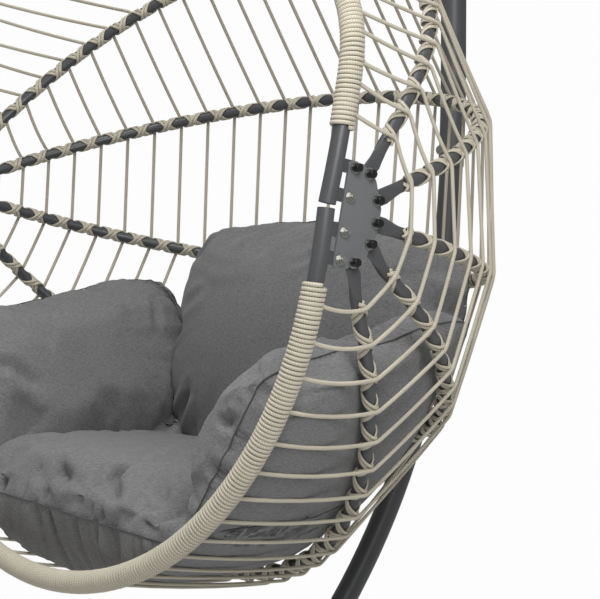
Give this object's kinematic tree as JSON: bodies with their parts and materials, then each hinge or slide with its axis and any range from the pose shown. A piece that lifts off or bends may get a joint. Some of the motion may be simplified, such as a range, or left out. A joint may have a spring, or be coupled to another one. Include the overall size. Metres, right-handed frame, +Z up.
{
  "type": "hanging egg chair",
  "caption": "Garden chair: an egg-shaped basket of steel hoops laced with rope, with grey cushions, hung by a swivel and shackle from a curved pole on a ring base.",
  "frame": {"origin": "on the floor at the centre of the base ring", "axes": "+Z up, +X to the right seen from the front, the sitter faces -Y and the pole stands at +Y"},
  "size_m": [1.0526, 1.0125, 1.9279],
  "materials": {
    "basket_steel": "satin",
    "plate_steel": "satin",
    "stand_steel": "satin",
    "rope": "matte",
    "cushion_cloth": "matte",
    "black_plastic": "satin",
    "foot_rubber": "matte",
    "zinc_fasteners": "satin",
    "hook_steel": "satin"
  },
  "bodies": {
    "stand": {"base_ring_front": "stand_steel", "base_ring_rear": "stand_steel", "base_ring_joiners": "stand_steel", "base_cross_bar": "stand_steel", "base_saddle": "stand_steel", "base_feet": "foot_rubber", "lower_pole": "stand_steel", "upper_pole": "stand_steel", "arch_eye": "stand_steel", "pole_joint_bolt": "zinc_fasteners", "pole_joint_washers": "zinc_fasteners", "pole_joint_nut": "zinc_fasteners", "pole_end_cap": "black_plastic"},
    "shackle": {"shackle": "hook_steel", "shackle_pin": "hook_steel"},
    "swivel_eye": {"swivel_eye": "hook_steel"},
    "basket": {"upper_rim_tube": "basket_steel", "lower_rim_tube": "basket_steel", "rib_1": "basket_steel", "rib_2": "basket_steel", "rib_3": "basket_steel", "rib_4": "basket_steel", "rib_5": "basket_steel", "hanger": "basket_steel", "upper_rim_lug": "basket_steel", "top_rib_lug": "basket_steel", "left_side_plate": "plate_steel", "right_side_plate": "plate_steel", "left_ropes": "rope", "right_ropes": "rope", "upper_rim_rope_wrap": "rope", "lower_rim_rope_wrap": "rope", "rib_1_lashings": "rope", "rib_2_lashings": "rope", "rib_3_lashings": "rope", "rib_4_lashings": "rope", "rib_5_lashings": "rope", "seat_cushion": "cushion_cloth", "left_arm_cushion": "cushion_cloth", "right_arm_cushion": "cushion_cloth", "back_cushion": "cushion_cloth", "plate_nut_caps": "black_plastic", "rim_end_plugs": "black_plastic", "plate_washers": "zinc_fasteners", "plate_screws": "zinc_fasteners", "plate_nuts": "zinc_fasteners", "hanger_bolts": "zinc_fasteners", "snap_hook": "hook_steel", "snap_hook_gate": "hook_steel", "swivel_barrel": "hook_steel"}
  },
  "joints": [
    {"name": "fore_aft_swing", "type": "hinge", "parent": "stand", "child": "shackle", "pos_m": [0, -0.047, 1.868], "axis": [1, 0, 0], "range_deg": [-12, 2]},
    {"name": "side_swing", "type": "hinge", "parent": "shackle", "child": "swivel_eye", "pos_m": [0, -0.047, 1.834], "axis": [0, 1, 0], "range_deg": [-4, 4]},
    {"name": "turn", "type": "hinge", "parent": "swivel_eye", "child": "basket", "pos_m": [0, -0.047, 1.834], "axis": [0, 0, 1], "range_deg": [-40, 40]}
  ]
}
